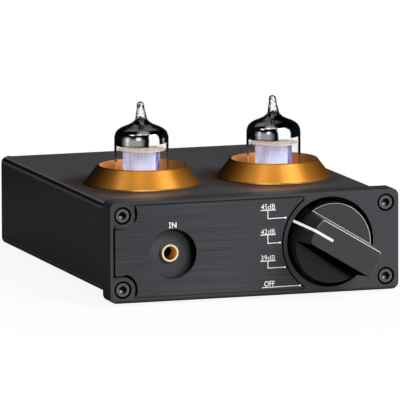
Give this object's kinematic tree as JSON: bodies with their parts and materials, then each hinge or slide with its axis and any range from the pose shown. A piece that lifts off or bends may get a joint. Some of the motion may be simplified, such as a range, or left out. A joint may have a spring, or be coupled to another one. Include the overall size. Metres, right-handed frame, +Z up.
{
  "type": "phono preamplifier",
  "caption": "Desktop valve phono preamplifier: black extruded case, thick front panel with rotary gain selector and round jack recess, miniature valves standing in gold rings.",
  "frame": {"origin": "centre of the overall box, on the surface that the feet stand on", "axes": "+X to the right seen from the front, +Y from the front panel to the rear plate, +Z up"},
  "size_m": [0.1, 0.152, 0.0604],
  "materials": {
    "case_black": "satin",
    "panel_black": "satin",
    "black_steel": "satin",
    "rubber_black": "matte",
    "gold_anodised": "satin",
    "knob_black": "satin",
    "pointer_white": "matte",
    "nickel": "polished",
    "steel_grey": "satin",
    "gold_plated": "polished",
    "plastic_black": "matte",
    "plastic_white": "gloss",
    "plastic_red": "gloss",
    "board_black": "satin",
    "sleeve_dark": "gloss",
    "film_red": "gloss",
    "ceramic_white": "satin",
    "valve_glass": "gloss",
    "mica_pale": "satin",
    "anode_grey": "satin"
  },
  "bodies": {
    "chassis": {"amplifier_chips": "plastic_black", "case_shell": "case_black", "converter_coils": "plastic_black", "coupling_capacitors": "sleeve_dark", "earth_post": "gold_plated", "film_capacitors": "film_red", "foot_front_left": "rubber_black", "foot_front_right": "rubber_black", "foot_rear_left": "rubber_black", "foot_rear_right": "rubber_black", "front_panel": "panel_black", "front_screws": "black_steel", "inlet_body": "plastic_black", "inlet_pin": "nickel", "jack_barrel": "gold_plated", "jack_body": "plastic_black", "main_board": "board_black", "phono_contacts": "gold_plated", "phono_input_block": "plastic_black", "phono_input_left_shell": "gold_plated", "phono_input_right_shell": "gold_plated", "phono_left_insulators": "plastic_white", "phono_output_block": "plastic_black", "phono_output_left_shell": "gold_plated", "phono_output_right_shell": "gold_plated", "phono_right_insulators": "plastic_red", "rear_plate": "case_black", "rear_screws": "black_steel", "reservoir_capacitors": "sleeve_dark", "ring_left": "gold_anodised", "ring_right": "gold_anodised", "socket_left": "ceramic_white", "socket_left_contacts": "nickel", "socket_right": "ceramic_white", "socket_right_contacts": "nickel", "switch_body": "steel_grey", "switch_bushing": "nickel", "switch_nut": "nickel"},
    "selector": {"knob": "knob_black", "knob_pointer": "pointer_white", "switch_shaft": "nickel"},
    "valve_left": {"valve_left_bulb": "valve_glass", "valve_left_button": "valve_glass", "valve_left_pins": "nickel", "valve_left_micas": "mica_pale", "valve_left_anode": "anode_grey", "valve_left_electrodes": "nickel", "valve_left_getter": "nickel"},
    "valve_right": {"valve_right_bulb": "valve_glass", "valve_right_button": "valve_glass", "valve_right_pins": "nickel", "valve_right_micas": "mica_pale", "valve_right_anode": "anode_grey", "valve_right_electrodes": "nickel", "valve_right_getter": "nickel"},
    "earth_washer": {"earth_washer": "gold_plated"},
    "earth_nut": {"earth_nut": "gold_plated"}
  },
  "joints": [
    {"name": "selector_turn", "type": "hinge", "parent": "chassis", "child": "selector", "pos_m": [0.0261, -0.06, 0.01805], "axis": [0, -1, 0], "range_deg": [0, 83.4]},
    {"name": "valve_left_lift", "type": "slide", "parent": "chassis", "child": "valve_left", "axis": [0, 0, 1], "range_m": [0, 0.025]},
    {"name": "valve_right_lift", "type": "slide", "parent": "chassis", "child": "valve_right", "axis": [0, 0, 1], "range_m": [0, 0.025]},
    {"name": "earth_nut_travel", "type": "slide", "parent": "chassis", "child": "earth_washer", "axis": [0, 1, 0], "range_m": [0, 0.0028]},
    {"name": "earth_nut_turn", "type": "hinge", "parent": "earth_washer", "child": "earth_nut", "pos_m": [0.006, 0.0668, 0.0182], "axis": [0, 1, 0], "range_deg": [0, 1440]}
  ],
  "couplings": [
    {"joint": "earth_nut_turn", "follows": "earth_nut_travel", "rad_per_m": 8976}
  ]
}
